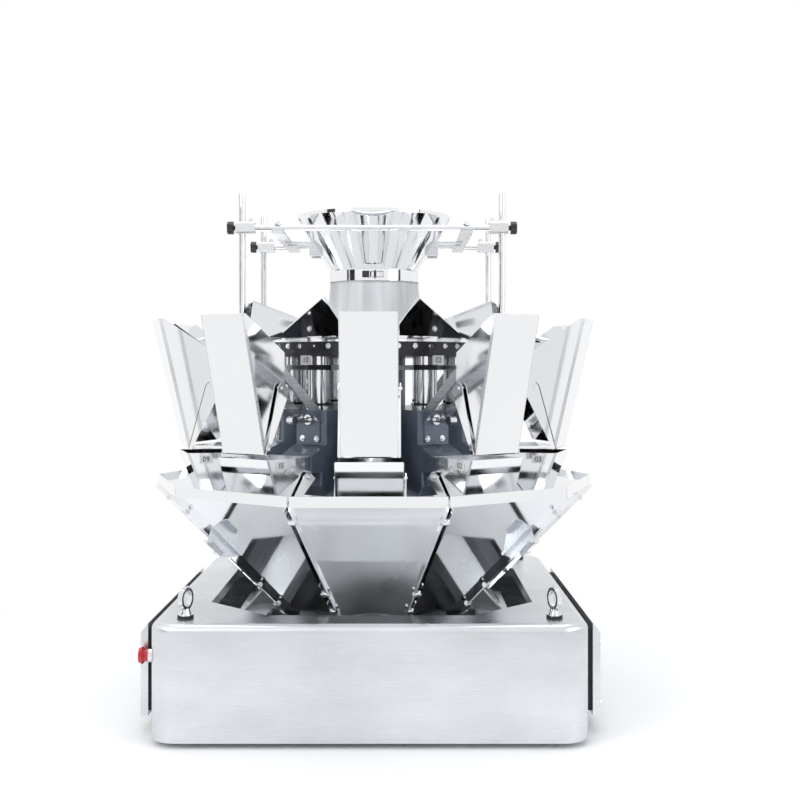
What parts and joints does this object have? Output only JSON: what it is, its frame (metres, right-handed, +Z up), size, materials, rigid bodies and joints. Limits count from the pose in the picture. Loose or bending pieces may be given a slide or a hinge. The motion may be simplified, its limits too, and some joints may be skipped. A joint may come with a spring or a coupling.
{
  "type": "multihead weigher",
  "caption": "Combination weigher with an infeed funnel, linear feeder pans, feed and weigh hoppers with hinged gates, a faceted collecting chute and a rounded steel base.",
  "frame": {"origin": "on the floor, under the middle of the base", "axes": "+Z up, -Y towards head 1 and the front, +X to the right seen from the front"},
  "size_m": [1.098, 1.08, 1.214],
  "materials": {
    "brushed_steel": "brushed stainless sheet",
    "mirror_steel": "mirror-polished stainless sheet",
    "chrome_parts": "polished",
    "cast_grey": "satin blue-grey paint on castings",
    "dark_metal": "satin black",
    "light_metal": "satin",
    "black_rubber": "matt",
    "black_plastic": "satin",
    "red_plastic": "gloss",
    "frosted_plastic": "frosted, lets light through",
    "brass_pads": "dull"
  },
  "bodies": {
    "machine": {"base_housing": "brushed_steel", "base_floor": "brushed_steel", "base_beams": "brushed_steel", "side_cover_left": "brushed_steel", "side_cover_right": "brushed_steel", "cover_gasket_left": "black_rubber", "cover_gasket_right": "black_rubber", "stop_collar": "chrome_parts", "stop_button": "red_plastic", "levelling_feet": "brass_pads", "lifting_eyes": "chrome_parts", "chute_panels": "mirror_steel", "chute_outlet": "mirror_steel", "chute_saddles": "brushed_steel", "chute_catches": "brushed_steel", "gate_actuators": "chrome_parts", "centre_column": "cast_grey", "support_legs": "brushed_steel", "drive_units": "cast_grey", "vibrators": "mirror_steel", "vibrator_ring": "dark_metal", "feeder_pans": "mirror_steel", "dispersion_cone": "mirror_steel", "feed_hoppers": "mirror_steel", "weigh_hoppers": "mirror_steel", "hopper_arms": "brushed_steel", "infeed_sleeve": "frosted_plastic", "clamp_band": "mirror_steel", "infeed_funnel": "mirror_steel", "frame_posts": "chrome_parts", "post_arms": "brushed_steel", "frame_bars": "chrome_parts", "post_clamps": "light_metal", "clamp_knobs": "black_plastic", "side_bars": "brushed_steel", "funnel_brackets": "brushed_steel"},
    "feed_gate_01": {"feed_gate_01": "mirror_steel"},
    "weigh_gate_01": {"weigh_gate_01": "mirror_steel"},
    "feed_gate_02": {"feed_gate_02": "mirror_steel"},
    "weigh_gate_02": {"weigh_gate_02": "mirror_steel"},
    "feed_gate_03": {"feed_gate_03": "mirror_steel"},
    "weigh_gate_03": {"weigh_gate_03": "mirror_steel"},
    "feed_gate_04": {"feed_gate_04": "mirror_steel"},
    "weigh_gate_04": {"weigh_gate_04": "mirror_steel"},
    "feed_gate_05": {"feed_gate_05": "mirror_steel"},
    "weigh_gate_05": {"weigh_gate_05": "mirror_steel"},
    "feed_gate_06": {"feed_gate_06": "mirror_steel"},
    "weigh_gate_06": {"weigh_gate_06": "mirror_steel"},
    "feed_gate_07": {"feed_gate_07": "mirror_steel"},
    "weigh_gate_07": {"weigh_gate_07": "mirror_steel"},
    "feed_gate_08": {"feed_gate_08": "mirror_steel"},
    "weigh_gate_08": {"weigh_gate_08": "mirror_steel"},
    "feed_gate_09": {"feed_gate_09": "mirror_steel"},
    "weigh_gate_09": {"weigh_gate_09": "mirror_steel"},
    "feed_gate_10": {"feed_gate_10": "mirror_steel"},
    "weigh_gate_10": {"weigh_gate_10": "mirror_steel"}
  },
  "joints": [
    {"name": "feed_gate_01_hinge", "type": "hinge", "parent": "machine", "child": "feed_gate_01", "pos_m": [0, -0.418, 0.76], "axis": [1, 0, 0], "range_deg": [0, 42], "stiffness_Nm_per_rad": 0.45, "springref_deg": -51.57},
    {"name": "weigh_gate_01_hinge", "type": "hinge", "parent": "machine", "child": "weigh_gate_01", "pos_m": [0, -0.346, 0.56], "axis": [1, 0, 0], "range_deg": [0, 42], "stiffness_Nm_per_rad": 0.6, "springref_deg": -51.57},
    {"name": "feed_gate_02_hinge", "type": "hinge", "parent": "machine", "child": "feed_gate_02", "pos_m": [0.24569, -0.33817, 0.76], "axis": [0.809, 0.5878, 0], "range_deg": [0, 42], "stiffness_Nm_per_rad": 0.45, "springref_deg": -51.57},
    {"name": "weigh_gate_02_hinge", "type": "hinge", "parent": "machine", "child": "weigh_gate_02", "pos_m": [0.20337, -0.27992, 0.56], "axis": [0.809, 0.5878, 0], "range_deg": [0, 42], "stiffness_Nm_per_rad": 0.6, "springref_deg": -51.57},
    {"name": "feed_gate_03_hinge", "type": "hinge", "parent": "machine", "child": "feed_gate_03", "pos_m": [0.39754, -0.12917, 0.76], "axis": [0.309, 0.9511, 0], "range_deg": [0, 42], "stiffness_Nm_per_rad": 0.45, "springref_deg": -51.57},
    {"name": "weigh_gate_03_hinge", "type": "hinge", "parent": "machine", "child": "weigh_gate_03", "pos_m": [0.32907, -0.10692, 0.56], "axis": [0.309, 0.9511, 0], "range_deg": [0, 42], "stiffness_Nm_per_rad": 0.6, "springref_deg": -51.57},
    {"name": "feed_gate_04_hinge", "type": "hinge", "parent": "machine", "child": "feed_gate_04", "pos_m": [0.39754, 0.12917, 0.76], "axis": [-0.309, 0.9511, 0], "range_deg": [0, 42], "stiffness_Nm_per_rad": 0.45, "springref_deg": -51.57},
    {"name": "weigh_gate_04_hinge", "type": "hinge", "parent": "machine", "child": "weigh_gate_04", "pos_m": [0.32907, 0.10692, 0.56], "axis": [-0.309, 0.9511, 0], "range_deg": [0, 42], "stiffness_Nm_per_rad": 0.6, "springref_deg": -51.57},
    {"name": "feed_gate_05_hinge", "type": "hinge", "parent": "machine", "child": "feed_gate_05", "pos_m": [0.24569, 0.33817, 0.76], "axis": [-0.809, 0.5878, 0], "range_deg": [0, 42], "stiffness_Nm_per_rad": 0.45, "springref_deg": -51.57},
    {"name": "weigh_gate_05_hinge", "type": "hinge", "parent": "machine", "child": "weigh_gate_05", "pos_m": [0.20337, 0.27992, 0.56], "axis": [-0.809, 0.5878, 0], "range_deg": [0, 42], "stiffness_Nm_per_rad": 0.6, "springref_deg": -51.57},
    {"name": "feed_gate_06_hinge", "type": "hinge", "parent": "machine", "child": "feed_gate_06", "pos_m": [0, 0.418, 0.76], "axis": [-1, 0, 0], "range_deg": [0, 42], "stiffness_Nm_per_rad": 0.45, "springref_deg": -51.57},
    {"name": "weigh_gate_06_hinge", "type": "hinge", "parent": "machine", "child": "weigh_gate_06", "pos_m": [0, 0.346, 0.56], "axis": [-1, 0, 0], "range_deg": [0, 42], "stiffness_Nm_per_rad": 0.6, "springref_deg": -51.57},
    {"name": "feed_gate_07_hinge", "type": "hinge", "parent": "machine", "child": "feed_gate_07", "pos_m": [-0.24569, 0.33817, 0.76], "axis": [-0.809, -0.5878, 0], "range_deg": [0, 42], "stiffness_Nm_per_rad": 0.45, "springref_deg": -51.57},
    {"name": "weigh_gate_07_hinge", "type": "hinge", "parent": "machine", "child": "weigh_gate_07", "pos_m": [-0.20337, 0.27992, 0.56], "axis": [-0.809, -0.5878, 0], "range_deg": [0, 42], "stiffness_Nm_per_rad": 0.6, "springref_deg": -51.57},
    {"name": "feed_gate_08_hinge", "type": "hinge", "parent": "machine", "child": "feed_gate_08", "pos_m": [-0.39754, 0.12917, 0.76], "axis": [-0.309, -0.9511, 0], "range_deg": [0, 42], "stiffness_Nm_per_rad": 0.45, "springref_deg": -51.57},
    {"name": "weigh_gate_08_hinge", "type": "hinge", "parent": "machine", "child": "weigh_gate_08", "pos_m": [-0.32907, 0.10692, 0.56], "axis": [-0.309, -0.9511, 0], "range_deg": [0, 42], "stiffness_Nm_per_rad": 0.6, "springref_deg": -51.57},
    {"name": "feed_gate_09_hinge", "type": "hinge", "parent": "machine", "child": "feed_gate_09", "pos_m": [-0.39754, -0.12917, 0.76], "axis": [0.309, -0.9511, 0], "range_deg": [0, 42], "stiffness_Nm_per_rad": 0.45, "springref_deg": -51.57},
    {"name": "weigh_gate_09_hinge", "type": "hinge", "parent": "machine", "child": "weigh_gate_09", "pos_m": [-0.32907, -0.10692, 0.56], "axis": [0.309, -0.9511, 0], "range_deg": [0, 42], "stiffness_Nm_per_rad": 0.6, "springref_deg": -51.57},
    {"name": "feed_gate_10_hinge", "type": "hinge", "parent": "machine", "child": "feed_gate_10", "pos_m": [-0.24569, -0.33817, 0.76], "axis": [0.809, -0.5878, 0], "range_deg": [0, 42], "stiffness_Nm_per_rad": 0.45, "springref_deg": -51.57},
    {"name": "weigh_gate_10_hinge", "type": "hinge", "parent": "machine", "child": "weigh_gate_10", "pos_m": [-0.20337, -0.27992, 0.56], "axis": [0.809, -0.5878, 0], "range_deg": [0, 42], "stiffness_Nm_per_rad": 0.6, "springref_deg": -51.57}
  ]
}
